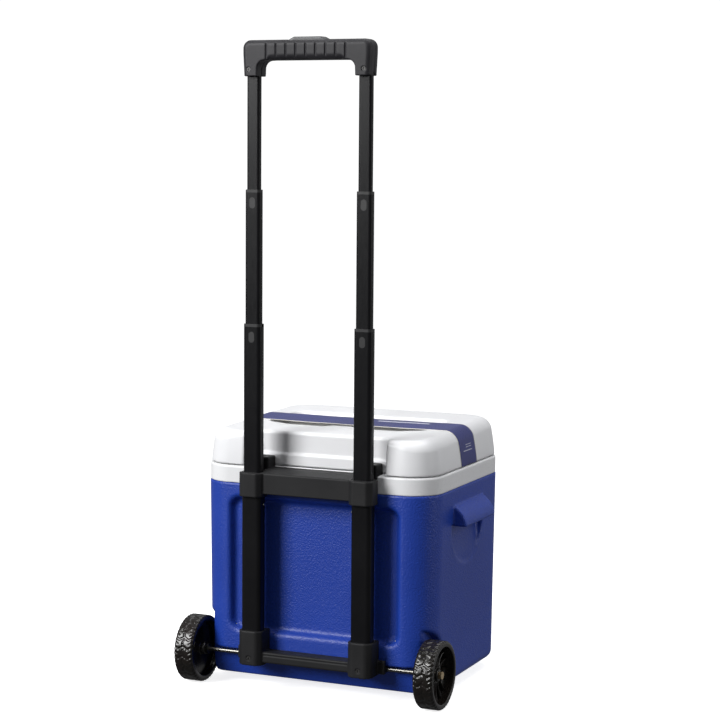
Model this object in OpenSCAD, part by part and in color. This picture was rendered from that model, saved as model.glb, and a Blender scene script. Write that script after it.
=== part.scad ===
// Wheeled cooler box with a three-stage pull handle and a lift-off lid.
// Frame: +Z up, +X to the right when seen from the handle side, which faces -Y.
// Origin: centre of the footprint, on the ground. Units: millimetres.

/* [Cooler box] */
// Width of the box at its rim
body_w = 374; // [350:1:390]
// Depth of the box from the handle side to the front
body_d = 306; // [290:1:330]
// Ground clearance under the box
body_z = 14; // [12:1:18]
// Height of the outer shell's top edge
shell_top = 307; // [302:1:316]
// Corner radius of the box in plan
corner_r = 48; // [40:1:55]
// Thickness of the moulded walls
wall = 3; // [2.5:0.1:3.5]
// Distance from the outside of the box to the inside of the liner
insulation = 28; // [27:0.5:32]
// Height of the liner's rim above the outer shell
rim_h = 26; // [22:1:30]

/* [Lid] */
// Height of the lid above its lower edge
lid_h = 57; // [50:1:62]
// Width of the recess behind the pull handle
dock_w = 226; // [216:1:236]
// Width of the card sleeve round the lid
band_w = 66; // [50:1:80]

/* [Pull handle] */
// Distance between the two legs of the handle, centre to centre
leg_span = 176; // [170:1:182]
// Width of the fixed tubes
tube_w = 32; // [30:1:34]
// Depth of the fixed tubes
tube_d = 21; // [20:1:23]
// Height of the grip's top when the handle is pulled out
grip_top = 956; // [930:1:970]
// Travel of the first sliding stage
stage1_travel = 217; // [150:1:217]
// Travel of the second sliding stage
stage2_travel = 190; // [150:1:190]
// Travel of the third sliding stage
stage3_travel = 158; // [130:1:158]

/* [Wheels] */
// Radius of the wheels
wheel_r = 50; // [48:1:52]
// Width over both wheels
track_w = 415; // [411:1:420]
// Width of one wheel
wheel_w = 30.5; // [29:0.5:31]
// Diameter of the axle rod
axle_dia = 6; // [5:0.5:6.5]
// Spokes in each wheel
spoke_count = 16; // [8:1:20]

/* [Hidden] */
$fn = 64;
eps = 0.05;
hull_fn = 32;
slab_t = 0.5;
// Reach of cutting shapes past the faces that they open
cut = 50;

// Colours
blue = [0.15, 0.27, 0.69];
white = [0.92, 0.92, 0.94];
black = [0.16, 0.16, 0.17];
steel = [0.75, 0.76, 0.78];
foam = [0.93, 0.89, 0.72];
indigo = [0.15, 0.18, 0.47];

// Places along Y: the wheels reach furthest back, the box furthest forward
axle_inset = 5;
overall_d = body_d + wheel_r - axle_inset;
rear = -overall_d / 2 + wheel_r - axle_inset;
body_y = rear + body_d / 2;
axle_y = rear + axle_inset;
tube_gap = 17;
tube_y = rear - tube_gap;

// Outer shell
draft = 4;
bottom_round = 14;
fit_gap = 0.2;
body_gap = 0.3;
well_r = 59;
well_x = 170;
panel_w = 276;
panel_low = 83;
panel_high = 288;
panel_r = 18;
panel_deep = 12;
panel_slope = 7;
channel_top = 55;
channel_low = 45;
channel_deep = 12;
undercut_deep = 20;

// Side grips
grip_y = rear + 150;
hood_w = 123;
hood_top = 283;
hood_low = 252;
hood_out = 20;
hood_t = 4;
hood_r = 12;
scoop_r = 64;
scoop_z = 252;
scoop_deep = 11;
scoop_top = 274;
scoop_slot_w = 112;
hood_root = 2;
hood_flat = 3;
hood_lip = 10;

// Liner, rim and lid
rim_top = shell_top + rim_h;
rim_inset = 0.5;
liner_t = 2.5;
liner_r = 30;
liner_floor = 46;
lid_low = rim_top + 1.5;
lid_top = lid_low + lid_h;
// Steps of the lid's side: share of its height, and inset there
lid_steps = [[0, 2.5], [0.45, 7], [0.76, 12], [0.9, 19], [1, 30]];
lid_lean = 0.6;
// The lid's top falls towards the handle by top_fall over top_run
top_fall = 7;
top_run = 280;
plug_deep = 14;
plug_gap = 2.5;
flange_inset = 8;
flange_low = rim_top + body_gap;
dock_deep = 27;
dock_ledge = 352;
dock_step = 3;
dock_r = 9;
tray_w = 260;
tray_d = 118;
tray_near = 105;
tray_deep = 11;
tray_r = 18;
band_near = 123;
band_gap = 0.4;
band_t = 0.8;

// Handle brackets
leg_x = leg_span / 2;
collar_w = 38;
collar_d = 34;
collar_cut = 7.5;
collar_low = 293;
collar_top = 329;
bar_front = 8;
bar_low = 298;
plate_back = 24.5;
plate_t = 5;
plate_top = rim_top - 1;
plate_half = 101;
bracket_gap = 0.3;
lug_in = 72;
lug_top = 349;
socket_w = 39;
socket_low = 41.5;
socket_top = 93;
socket_r = 8;
socket_floor = 3.5;
low_bar_low = 46;
low_bar_top = 62;
boss_out = 119;
boss_front = 6.5;
boss_top = 64;
boss_low = 44;
tongue_reach = 10.5;
tongue_gap = 0.5;
screw_r = 2;
head_r = 3;
head_h = 3;
head_sink = 4;
tail_gap = 6;
cross_w = 1;
cross_deep = 1.2;
upper_screw_y = rear + 15;
upper_screw_low = 315;
lower_screw_z = 52.5;

// Tubes: each stage slides in the one below, round a sleeve
tube_t = 1.05;
sleeve_t = 0.5;
stage_step = 2 * (tube_t + sleeve_t + body_gap);
tube_r = 7;
tube_r_step = 1;
sleeve_h = 25;
cap_h = 4;
tube_low = [socket_low + socket_floor, 283, 502, 688];
tube_top = [325, 543, 738, 924];
plug_h = 10;
stub_h = 12;
tab_w = 9;
tab_h = 16;
tab_down = 15;
pin_r = 2;
pin_z = [281, 0, 701];
pin_out = [2, 0, 0.55];
key_w = 6;

// Grip
grip_low = grip_top - 51.5;
grip_half = 101;
grip_d = 32;
grip_corner = 12;
grip_round = 8;
bar_under = grip_top - 29;
hand_half = 75.5;
hand_r = 15;
ridge_count = 9;
ridge_step = 15.5;
ridge_r = 1.6;
cavity_low = grip_top - 26;
cavity_top = grip_top - 9;
cavity_half = 92;
cavity_d = 12;
button_base = 60;
button_flat = 42;
button_rise = 4;
button_d = 21;
button_gap = 0.5;
button_rim = 0.5;
button_low = grip_top - 10.7;
button_well = button_low - button_rise - button_gap;
link_low = grip_top - 16;
link_h = 5;
link_d = 10;
rod_x = 83;
rod_r = 1.5;
rod_low = 706;
grip_screw_x = 90;
grip_screw_z = grip_top - 42;
spring_x = 20;
spring_r = 3.5;
spring_wire = 0.8;
spring_h = 5.5;

// Wheels
wheel_in = track_w / 2 - wheel_w;
shoulder = 5;
hub_r = 9;
hub_len = 23;
web_low = 9;
web_high = 13;
rim_in = 41.5;
spoke_t = 2.4;
spoke_high = 22;
bore_clear = 0.05;
tread_count = 20;
tread_w = 3;
tread_deep = 2;
washer_r = 8;
washer_t = 4.3;
cap_r = 5.5;
cap_len = 4.5;
rod_half = wheel_in + hub_len + 3;
foot_r = 16;
foot_x = 100;
foot_y = rear + body_d - 42;

// Rectangle with round corners, centred
module rounded(w, d, r) {
    square([w - 2 * r, d], center = true);
    square([w, d - 2 * r], center = true);
    for (sx = [-1, 1], sy = [-1, 1])
        translate([sx * (w / 2 - r), sy * (d / 2 - r)])
            circle(r = r);
}

// Outline in the YZ plane, drawn out along X over len, centred
module along_x(len) {
    rotate([90, 0, 90])
        linear_extrude(len, center = true)
            children();
}

// Outline in the XZ plane, drawn out along +Y from y over len
module along_y(y, len) {
    translate([0, y + len, 0])
        rotate([90, 0, 0])
            linear_extrude(len)
                children();
}

// Both sides of the object from the right-hand one
module both_sides() {
    children();
    mirror([1, 0, 0])
        children();
}

// Thin level slice of the box, inset by inset_x and inset_y
module slab(inset_x, inset_y, z) {
    translate([0, body_y, z])
        linear_extrude(slab_t)
            rounded(body_w - 2 * inset_x, body_d - 2 * inset_y, corner_r - inset_x, $fn = hull_fn);
}

// Outside of the box, shrunk by g, up to the height top
module body_form(g, top) {
    hull() {
        slab(draft + bottom_round / 2 + g, draft / 2 + bottom_round / 2 + g, body_z + g);
        slab(draft + g, draft / 2 + g, body_z + bottom_round / 2 + g);
        slab(g, g, top - slab_t);
    }
}

// Recessed panel behind the handle
module panel(g) {
    mid = (panel_low + panel_high) / 2;
    tall = panel_high - panel_low + 2 * g;
    hull() {
        translate([0, 0, mid])
            along_y(rear - 1, 1)
                rounded(panel_w + 2 * g, tall, panel_r, $fn = hull_fn);
        translate([0, 0, mid + panel_slope / 2])
            along_y(rear + panel_deep + g - 1, 1)
                rounded(panel_w - 2 * panel_slope + 2 * g, tall - 3 * panel_slope, panel_r, $fn = hull_fn);
    }
}

// Outline of a side scoop, grown by g: a half disc under a slot
module scoop_outline(g) {
    r = scoop_r + g;
    intersection() {
        circle(r = r);
        translate([-r, -r])
            square([2 * r, r + g]);
    }
    translate([-scoop_slot_w / 2 - g, 0])
        square([scoop_slot_w + 2 * g, scoop_top - scoop_z + g]);
}

// Everything that dents the box: panel, side scoops, wheel wells and the channel for the axle
module dents(g) {
    panel(g);
    both_sides() {
        translate([body_w / 2 - draft / 4 - scoop_deep - g, grip_y, scoop_z])
            rotate([90, 0, 90])
                linear_extrude(hood_out)
                    scoop_outline(g);
        translate([well_x - g, axle_y, wheel_r])
            rotate([0, 90, 0])
                cylinder(r = well_r + g, h = body_w / 2);
    }
    along_x(body_w + 10)
        polygon([
            [rear - 10, channel_top + g],
            [rear + channel_deep + g, channel_top + g],
            [rear + channel_deep + g, channel_low],
            [rear + undercut_deep + g, body_z - 1],
            [rear - 10, body_z - 1]
        ]);
}

// Hood over the finger pocket on the right-hand end
module hood() {
    x = body_w / 2;
    intersection() {
        union() {
            along_y(grip_y - hood_w / 2, hood_w)
                polygon([
                    [x - hood_root, hood_top],
                    [x + hood_flat, hood_top],
                    [x + hood_out - hood_root, hood_low + hood_lip],
                    [x + hood_out, hood_low],
                    [x + hood_out - hood_t, hood_low],
                    [x + hood_out - hood_t - hood_flat, hood_low + hood_lip],
                    [x + hood_flat - hood_root, hood_top - hood_t - hood_root],
                    [x - hood_root, hood_top - hood_t - hood_root]
                ]);
            for (side = [-1, 1])
                along_y(grip_y + side * (hood_w - hood_t) / 2 - hood_t / 2, hood_t)
                    polygon([
                        [x - hood_root, hood_top],
                        [x + hood_flat, hood_top],
                        [x + hood_out - hood_root, hood_low + hood_lip],
                        [x + hood_out, hood_low],
                        [x - hood_root, hood_low]
                    ]);
        }
        translate([x, grip_y, hood_low - 1])
            linear_extrude(hood_top - hood_low + 2)
                rounded(2 * hood_out, hood_w, hood_r);
    }
}

// Space between the shell and the liner up to the height top, with room g kept to the outside of the box
module foam_space(g, top) {
    difference() {
        body_form(g, top);
        dents(g);
    }
}

module outer_shell() {
    color(blue)
        difference() {
            union() {
                body_form(0, shell_top);
                both_sides()
                    hood();
            }
            dents(0);
            foam_space(wall, shell_top + wall);
        }
}

// Liner's inside, grown by g, from z up to the height top
module liner_form(g, z, top) {
    translate([0, body_y, z])
        linear_extrude(top - z)
            rounded(body_w - 2 * insulation + 2 * g, body_d - 2 * insulation + 2 * g, liner_r + g);
}

// Level band of the rim, inset by g
module rim_form(g, z, top) {
    translate([0, body_y, z])
        linear_extrude(top - z)
            rounded(body_w - 2 * g, body_d - 2 * g, corner_r - g);
}

// Notch in the rim that takes the upper bracket's plate
module rim_notch(g) {
    half = plate_half + bracket_gap + g;
    deep = plate_back + bracket_gap + g;
    low = plate_top - plate_t - bracket_gap - g;
    translate([-half, rear - 1, low])
        cube([2 * half, deep + 1, rim_top - low + 1]);
}

// Shafts of the two screws that hold the upper bracket
module upper_screw_shafts(r) {
    both_sides()
        translate([leg_x, upper_screw_y, upper_screw_low])
            cylinder(r = r, h = lug_top - upper_screw_low - head_sink);
}

module inner_liner() {
    color(white)
        difference() {
            union() {
                difference() {
                    rim_form(rim_inset, shell_top, rim_top);
                    difference() {
                        rim_form(rim_inset + wall, shell_top - 1, rim_top - wall);
                        rim_notch(wall);
                    }
                    rim_notch(0);
                }
                liner_form(liner_t, liner_floor - liner_t, rim_top);
            }
            liner_form(0, liner_floor, rim_top + 1);
            upper_screw_shafts(screw_r + eps);
        }
}

module foam_core() {
    color(foam)
        difference() {
            union() {
                foam_space(wall + fit_gap, shell_top);
                rim_form(rim_inset + wall + fit_gap, shell_top - 1, rim_top - wall - fit_gap);
            }
            rim_notch(wall + fit_gap);
            liner_form(liner_t + fit_gap, liner_floor - liner_t - fit_gap, rim_top + 1);
            upper_screw_shafts(screw_r + fit_gap);
        }
}

// Foot under the front of the box, on one side
module front_foot(side) {
    color(black)
        translate([side * foot_x, foot_y, 0]) {
            cylinder(r1 = foot_r - 2, r2 = foot_r, h = 3);
            translate([0, 0, 3])
                cylinder(r = foot_r, h = body_z - 3);
        }
}

// Outside of the lid, shrunk by g sideways and at the top, and lowered by drop at its lower edge
module lid_form(g, drop) {
    hull() {
        slab(lid_steps[0][1] + g, lid_lean * lid_steps[0][1] + g, lid_low - drop);
        for (k = [1:len(lid_steps) - 1])
            let (inset = lid_steps[k][1])
                slab(inset + g, lid_lean * inset + g, lid_low + lid_steps[k][0] * lid_h - g - slab_t);
    }
}

// Recess in the lid's rear that takes the grip, grown by g
module dock(g) {
    deep = dock_deep + g;
    half = dock_w / 2 + g;
    translate([0, rear + deep - cut, lid_low - cut])
        linear_extrude(lid_h + 2 * cut)
            rounded(2 * half, 2 * cut, dock_r);
    translate([0, rear + deep + dock_step - cut, dock_ledge - g])
        linear_extrude(lid_h)
            rounded(2 * half, 2 * cut, dock_r);
}

// Wedge over the falling top of the lid, lowered by g
module above_lid(g) {
    slope = top_fall / top_run;
    along_x(body_w + cut)
        polygon([
            [rear - cut, lid_top - g - slope * (top_run + cut)],
            [rear + top_run + cut, lid_top - g + slope * cut],
            [rear + top_run + cut, lid_top + cut],
            [rear - cut, lid_top + cut]
        ]);
}

// Shallow tray in the top of the lid, grown by g
module tray(g) {
    translate([0, rear + tray_near + tray_d / 2, lid_top - tray_deep - g])
        linear_extrude(tray_deep + g + cut)
            rounded(tray_w + 2 * g, tray_d + 2 * g, tray_r);
}

module lid_cover() {
    color(white)
        difference() {
            lid_form(0, 0);
            dock(0);
            tray(0);
            above_lid(0);
            difference() {
                lid_form(wall, 2);
                dock(wall);
                tray(wall);
                above_lid(wall);
            }
        }
}

// Inner panel of the lid: a flange on the rim and a plug inside the liner
module lid_liner() {
    flange_h = wall;
    color(white)
        difference() {
            union() {
                difference() {
                    rim_form(flange_inset, flange_low, flange_low + flange_h);
                    dock(wall + fit_gap);
                }
                translate([0, dock_step, 0])
                    liner_form(-plug_gap - dock_step, flange_low - plug_deep, flange_low + flange_h);
            }
            translate([0, dock_step, 0])
                liner_form(-plug_gap - dock_step - liner_t, flange_low - plug_deep + liner_t, flange_low + 10);
        }
}

module lid_foam() {
    low = flange_low + wall + fit_gap;
    color(foam)
        union() {
            difference() {
                lid_form(wall + fit_gap, 2);
                dock(wall + fit_gap);
                tray(wall + fit_gap);
                above_lid(wall + fit_gap);
                translate([-body_w / 2, rear, low - cut])
                    cube([body_w, body_d, cut]);
            }
            translate([0, dock_step, 0])
                liner_form(
                    -plug_gap - dock_step - liner_t - fit_gap,
                    flange_low - plug_deep + liner_t + fit_gap,
                    low + 1
                );
        }
}

// Half outline of the lid seen from the rear, moved outwards by g
function lid_side(g) = [for (s = lid_steps) [body_w / 2 - s[1] + g, lid_low + s[0] * (lid_h + g)]];
function mirrored(points) = [for (i = [len(points) - 1:-1:0]) [-points[i][0], points[i][1]]];

module label_band() {
    outer = lid_side(band_gap + band_t);
    inner = lid_side(band_gap);
    color(indigo)
        along_y(rear + band_near, band_w)
            difference() {
                polygon(concat(outer, mirrored(outer)));
                polygon(concat([[inner[0][0], lid_low - 1]], inner, mirrored(inner), [[-inner[0][0], lid_low - 1]]));
            }
}

// Cross-section of stage i, grown by g: stage 0 is the fixed tube
module section(i, g) {
    w = tube_w - stage_step * i + 2 * g;
    d = tube_d - stage_step * i + 2 * g;
    rounded(w, d, tube_r - tube_r_step * i + g);
}

// Oval tab of the bush in the front wall of the tube
module tab(i) {
    front = tube_y - tube_d / 2 + stage_step / 2 * i;
    translate([0, 0, tube_top[i] - tab_down])
        along_y(front, tube_t)
            rounded(tab_w, tab_h, tab_w / 2 - eps);
}

// Pin that locks the stage above: it shows on the inner side of the tube
module lock_pin(i, side) {
    face = leg_x - tube_w / 2 + stage_step / 2 * i;
    translate([side * (face - pin_out[i]), tube_y, pin_z[i]])
        rotate([0, side * 90, 0])
            cylinder(r = pin_r, h = pin_out[i] + tube_t);
}

module tube(i, side) {
    color(black)
        difference() {
            translate([side * leg_x, tube_y, tube_low[i]])
                linear_extrude(tube_top[i] - tube_low[i])
                    difference() {
                        section(i, 0);
                        section(i, -tube_t);
                    }
            if (i < 3)
                translate([side * leg_x, 0, 0])
                    tab(i);
            if (i == 0 || i == 2)
                lock_pin(i, side);
            if (i == 0)
                lower_screw(side, screw_r + eps);
            if (i == 3)
                grip_screw(side, screw_r + eps);
        }
}

// Bush in the top of stage i: a cap on the tube's end, a sleeve inside and a tab in its front wall
module bush(i, side) {
    color(black)
        difference() {
            union() {
                translate([side * leg_x, tube_y, tube_top[i]])
                    linear_extrude(cap_h)
                        section(i, 0);
                translate([side * leg_x, tube_y, tube_top[i] - sleeve_h])
                    linear_extrude(sleeve_h)
                        section(i, -tube_t);
                translate([side * leg_x, 0, 0])
                    tab(i);
            }
            translate([side * leg_x, tube_y, tube_top[i] - sleeve_h - 1])
                linear_extrude(sleeve_h + cap_h + 2)
                    section(i + 1, body_gap);
            if (i == 1)
                translate([side * (leg_x - tube_w / 4), tube_y, tube_top[i]])
                    cube([tube_w / 2 - stage_step, key_w, 3 * sleeve_h], center = true);
        }
}

// Plug in the foot of stage i, which runs inside the tube below
module plug(i, side) {
    color(black)
        translate([side * leg_x, tube_y, tube_low[i] - plug_h]) {
            linear_extrude(plug_h)
                section(i, sleeve_t);
            linear_extrude(plug_h + stub_h)
                section(i, -tube_t - eps);
        }
}

module upper_bracket() {
    color(black)
        difference() {
            union() {
                both_sides() {
                    translate([leg_x, tube_y, collar_low])
                        linear_extrude(collar_top - collar_low)
                            polygon([
                                for (c = [[1, 1], [-1, 1], [-1, -1], [1, -1]], k = [0, 1])
                                    let (w = collar_w / 2, d = collar_d / 2, flip = (c[0] * c[1] > 0) ? k : 1 - k)
                                    [c[0] * (w - collar_cut * flip), c[1] * (d - collar_cut * (1 - flip))]
                            ]);
                    translate([lug_in, rear - bracket_gap, plate_top - plate_t])
                        cube([plate_half - lug_in, plate_back + bracket_gap, lug_top - plate_top + plate_t]);
                }
                along_x(2 * lug_in + 2)
                    polygon([
                        [tube_y - bar_front, bar_low],
                        [tube_y - bar_front, collar_top - 2],
                        [tube_y - bar_front + 2, collar_top],
                        [rear, plate_top],
                        [rear + plate_back, plate_top],
                        [rear + plate_back, plate_top - plate_t],
                        [rear - bracket_gap, plate_top - plate_t],
                        [rear - bracket_gap, bar_low]
                    ]);
                translate([-plate_half, rear - bracket_gap, plate_top - plate_t])
                    cube([2 * plate_half, plate_back + bracket_gap, plate_t]);
            }
            both_sides() {
                translate([leg_x, tube_y, collar_low - 1])
                    linear_extrude(collar_top - collar_low + 2)
                        section(0, 0);
                translate([leg_x, upper_screw_y, lug_top - head_sink])
                    cylinder(r = head_r + fit_gap, h = head_sink + 1);
            }
            upper_screw_shafts(screw_r + eps);
            along_x(2 * (lug_in - wall))
                translate([tube_y - bar_front + wall, bar_low - 1])
                    square([tube_gap + bar_front - 2 * wall, collar_top - bar_low - wall - 2]);
        }
}

// Plan outline of the socket round the foot of a fixed tube
module socket_outline() {
    intersection() {
        translate([0, socket_r])
            rounded(socket_w, 2 * tube_gap - 1 + 2 * socket_r, socket_r);
        translate([0, -bracket_gap / 2])
            square([socket_w, 2 * tube_gap - bracket_gap], center = true);
    }
}

module lower_bracket() {
    color(black)
        difference() {
            union() {
                both_sides() {
                    translate([leg_x, tube_y, socket_low])
                        linear_extrude(socket_top - socket_low)
                            socket_outline();
                    translate([leg_x, rear - boss_front, boss_low])
                        cube([boss_out - leg_x, boss_front - bracket_gap, boss_top - boss_low]);
                    translate([leg_x + socket_w / 2, rear - 1, channel_low + tongue_gap])
                        cube([
                            boss_out - leg_x - socket_w / 2,
                            tongue_reach,
                            channel_top - channel_low - 2 * tongue_gap
                        ]);
                }
                translate([-leg_x, tube_y - bar_front, low_bar_low])
                    cube([2 * leg_x, tube_gap + bar_front - bracket_gap, low_bar_top - low_bar_low]);
            }
            both_sides()
                translate([leg_x, tube_y, socket_low + socket_floor])
                    linear_extrude(socket_top)
                        section(0, 0);
            for (side = [-1, 1]) {
                lower_screw(side, screw_r + eps);
                translate([side * leg_x, tube_y - tube_gap - 1, lower_screw_z])
                    rotate([-90, 0, 0])
                        cylinder(r = head_r + fit_gap, h = head_sink + 1);
            }
            translate([0, axle_y, wheel_r])
                rotate([0, 90, 0])
                    cylinder(d = axle_dia + 2 * bore_clear, h = body_w, center = true);
        }
}

// Shaft of the screw that holds the foot of a fixed tube
module lower_screw(side, r) {
    translate([side * leg_x, tube_y - tube_gap + head_sink, lower_screw_z])
        rotate([-90, 0, 0])
            cylinder(r = r, h = tube_gap + tube_d / 2);
}

// Screw head with a cross recess, at the origin, facing +Z
module screw_head(r, h) {
    difference() {
        cylinder(r = r, h = h);
        for (turn = [0, 90])
            rotate(turn)
                translate([-r / 2, -cross_w / 2, h - cross_deep])
                    cube([r, cross_w, cross_deep + 1]);
    }
}

module upper_screws() {
    color(steel) {
        upper_screw_shafts(screw_r);
        both_sides()
            translate([leg_x, upper_screw_y, lug_top - head_sink + eps])
                screw_head(head_r, head_h);
    }
}

module lower_screws() {
    color(steel)
        for (side = [-1, 1]) {
            lower_screw(side, screw_r);
            translate([side * leg_x, tube_y - tube_gap + head_sink - eps, lower_screw_z])
                rotate([90, 0, 0])
                    screw_head(head_r, head_h);
        }
}

module axle_rod() {
    color(steel)
        translate([0, axle_y, wheel_r])
            rotate([0, 90, 0])
                cylinder(d = axle_dia, h = 2 * rod_half, center = true);
}

module axle_washers() {
    color(steel)
        both_sides()
            translate([wheel_in - body_gap - washer_t, axle_y, wheel_r])
                rotate([0, 90, 0])
                    difference() {
                        cylinder(r = washer_r, h = washer_t);
                        translate([0, 0, -1])
                            cylinder(d = axle_dia + 2 * eps, h = washer_t + 2);
                    }
}

// Push-on cap over the end of the axle
module hub_cap(side) {
    start = wheel_in + hub_len + body_gap;
    color([0.72, 0.6, 0.42])
        translate([side * start, axle_y, wheel_r])
            rotate([0, side * 90, 0])
                difference() {
                    cylinder(r = cap_r, h = cap_len);
                    translate([0, 0, -1])
                        cylinder(d = axle_dia + 2 * eps, h = rod_half - start + 1 + eps);
                }
}

// Wheel standing on its inner face, with its axis along Z
module wheel() {
    bore = axle_dia / 2 + bore_clear;
    difference() {
        union() {
            rotate_extrude()
                polygon([
                    [bore, 0],
                    [hub_r, 0],
                    [hub_r, web_low],
                    [rim_in - 1, web_low],
                    [rim_in - 1, 0],
                    [wheel_r - shoulder, 0],
                    [wheel_r, shoulder],
                    [wheel_r, wheel_w - shoulder],
                    [wheel_r - shoulder, wheel_w],
                    [rim_in, wheel_w],
                    [rim_in, web_high],
                    [hub_r, web_high],
                    [hub_r, hub_len],
                    [bore, hub_len]
                ]);
            for (k = [0:spoke_count - 1])
                rotate(k * 360 / spoke_count)
                    translate([hub_r - 1, -spoke_t / 2, web_low])
                        cube([rim_in - hub_r + 2, spoke_t, spoke_high - web_low]);
        }
        for (k = [0:tread_count - 1], row = [0, 1])
            rotate((k + row / 2) * 360 / tread_count)
                translate([wheel_r - tread_deep, -tread_w / 2, row * wheel_w / 2 - 1 + row])
                    cube([2 * tread_deep, tread_w, wheel_w / 2 + 1]);
    }
}

module wheel_at(side) {
    color(black)
        translate([side * wheel_in, axle_y, wheel_r])
            rotate([0, side * 90, 0])
                wheel();
}

// Steel pins that show on the inner side of a pair of tubes
module lock_pins(i) {
    color(steel)
        for (side = [-1, 1])
            lock_pin(i, side);
}

// Hand opening under the bar of the grip, as an outline in the XZ plane
module hand_opening() {
    translate([0, bar_under - 40])
        rounded(2 * hand_half, 80, hand_r);
}

// Outside of the grip: bar and two legs in one
module grip_form() {
    tall = grip_top - grip_low;
    intersection() {
        along_y(tube_y - grip_d / 2, grip_d)
            difference() {
                translate([0, grip_low + tall / 2 - grip_corner / 2])
                    rounded(2 * grip_half, tall + grip_corner, grip_corner);
                translate([-grip_half, grip_low - 2 * grip_corner])
                    square([2 * grip_half, 2 * grip_corner]);
                hand_opening();
            }
        translate([0, tube_y, grip_top - grip_d])
            along_x(2 * grip_half)
                translate([0, -grip_d / 2])
                    rounded(grip_d, 3 * grip_d, grip_round);
        translate([0, tube_y, grip_low])
            linear_extrude(tall)
                rounded(2 * grip_half, grip_d, grip_round);
    }
}

// Shaft of the screw that holds a leg of the grip together
module grip_screw(side, r) {
    translate([side * grip_screw_x, tube_y - grip_d / 2 + head_sink, grip_screw_z])
        rotate([-90, 0, 0])
            cylinder(r = r, h = grip_d - head_sink - tail_gap);
}

// Half of the grip: face is -1 for the half away from the box and 1 for the other
module grip_half_shell(face) {
    color(black)
        difference() {
            intersection() {
                grip_form();
                translate([-grip_half, face > 0 ? tube_y + eps : tube_y - grip_d, grip_low - 1])
                    cube([2 * grip_half, grip_d - eps, grip_top]);
            }
            both_sides()
                translate([leg_x, tube_y, grip_low - 1])
                    linear_extrude(cavity_low - grip_low + 2)
                        section(3, fit_gap);
            translate([-cavity_half, tube_y - cavity_d / 2, cavity_low])
                cube([2 * cavity_half, cavity_d, cavity_top - cavity_low]);
            translate([-button_base / 2 - button_gap, tube_y - button_d / 2 - button_gap, button_well])
                cube([button_base + 2 * button_gap, button_d + 2 * button_gap, grip_top]);
            for (side = [-1, 1]) {
                grip_screw(side, screw_r + eps);
                translate([side * grip_screw_x, tube_y - grip_d / 2 - 1, grip_screw_z])
                    rotate([-90, 0, 0])
                        cylinder(r = head_r + fit_gap, h = head_sink + 1);
            }
            for (k = [0:ridge_count - 1])
                translate([(k - (ridge_count - 1) / 2) * ridge_step, tube_y + face * grip_d / 2, bar_under - 1])
                    cylinder(r = ridge_r, h = grip_top, $fn = 24);
        }
}

module grip_screws() {
    color(steel)
        for (side = [-1, 1]) {
            grip_screw(side, screw_r);
            translate([side * grip_screw_x, tube_y - grip_d / 2 + head_sink - eps, grip_screw_z])
                rotate([90, 0, 0])
                    screw_head(head_r, head_h);
        }
}

// Springs under the button, drawn at their pressed length
module button_springs() {
    color(steel)
        for (side = [-1, 1])
            translate([side * spring_x, tube_y, cavity_low + eps])
                difference() {
                    cylinder(r = spring_r, h = spring_h);
                    translate([0, 0, -1])
                        cylinder(r = spring_r - spring_wire, h = spring_h + 2);
                }
}

module release_button() {
    half = button_base / 2;
    flat = button_flat / 2;
    color(black)
        along_y(tube_y - button_d / 2, button_d)
            polygon([
                [-half, button_low],
                [half, button_low],
                [half, grip_top - button_rim],
                [flat, grip_top + button_rise],
                [-flat, grip_top + button_rise],
                [-half, grip_top - button_rim]
            ]);
}

// Bar inside the grip that carries the button's push to both release rods
module release_link() {
    color(white)
        translate([-leg_x, tube_y - link_d / 2, link_low])
            cube([2 * leg_x, link_d, link_h]);
}

module release_rod(side) {
    color(steel)
        translate([side * rod_x, tube_y, rod_low])
            cylinder(r = rod_r, h = link_low - rod_low);
}

outer_shell();
foam_core();
inner_liner();
front_foot(-1);  // front_foot_left
front_foot(1);  // front_foot_right
upper_bracket();
lower_bracket();
upper_screws();
lower_screws();
tube(0, -1);  // outer_tube_left
tube(0, 1);  // outer_tube_right
bush(0, -1);  // outer_bush_left
bush(0, 1);  // outer_bush_right
lock_pins(0);  // outer_lock_pins
axle_rod();
axle_washers();
hub_cap(-1);  // hub_cap_left
hub_cap(1);  // hub_cap_right
wheel_at(-1);  // wheel_left
wheel_at(1);  // wheel_right
lid_cover();
lid_foam();
lid_liner();
label_band();
tube(1, -1);  // stage1_tube_left
tube(1, 1);  // stage1_tube_right
bush(1, -1);  // stage1_bush_left
bush(1, 1);  // stage1_bush_right
plug(1, -1);  // stage1_plug_left
plug(1, 1);  // stage1_plug_right
tube(2, -1);  // stage2_tube_left
tube(2, 1);  // stage2_tube_right
bush(2, -1);  // stage2_bush_left
bush(2, 1);  // stage2_bush_right
plug(2, -1);  // stage2_plug_left
plug(2, 1);  // stage2_plug_right
lock_pins(2);  // stage2_lock_pins
tube(3, -1);  // stage3_tube_left
tube(3, 1);  // stage3_tube_right
plug(3, -1);  // stage3_plug_left
plug(3, 1);  // stage3_plug_right
grip_half_shell(-1);  // grip_outer_shell
grip_half_shell(1);  // grip_inner_shell
grip_screws();
button_springs();
release_button();
release_link();
release_rod(-1);  // release_rod_left
release_rod(1);  // release_rod_right
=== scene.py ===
"""Looks of the wheeled cooler box: detailed pieces, materials, floor, lights and camera.

Shapes are worked out in millimetres as distance fields, which are below 0 inside the piece.
net_mesh() turns them into meshes, and mesh_object() writes these in metres. In the fields, ax is
the distance from the middle plane, deep the distance behind or before a face, and grow how far
a cut is made larger, for the inner side of a wall.
"""

import math

import bmesh
import bpy
import numpy as np
from mathutils import Matrix, Vector


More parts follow.
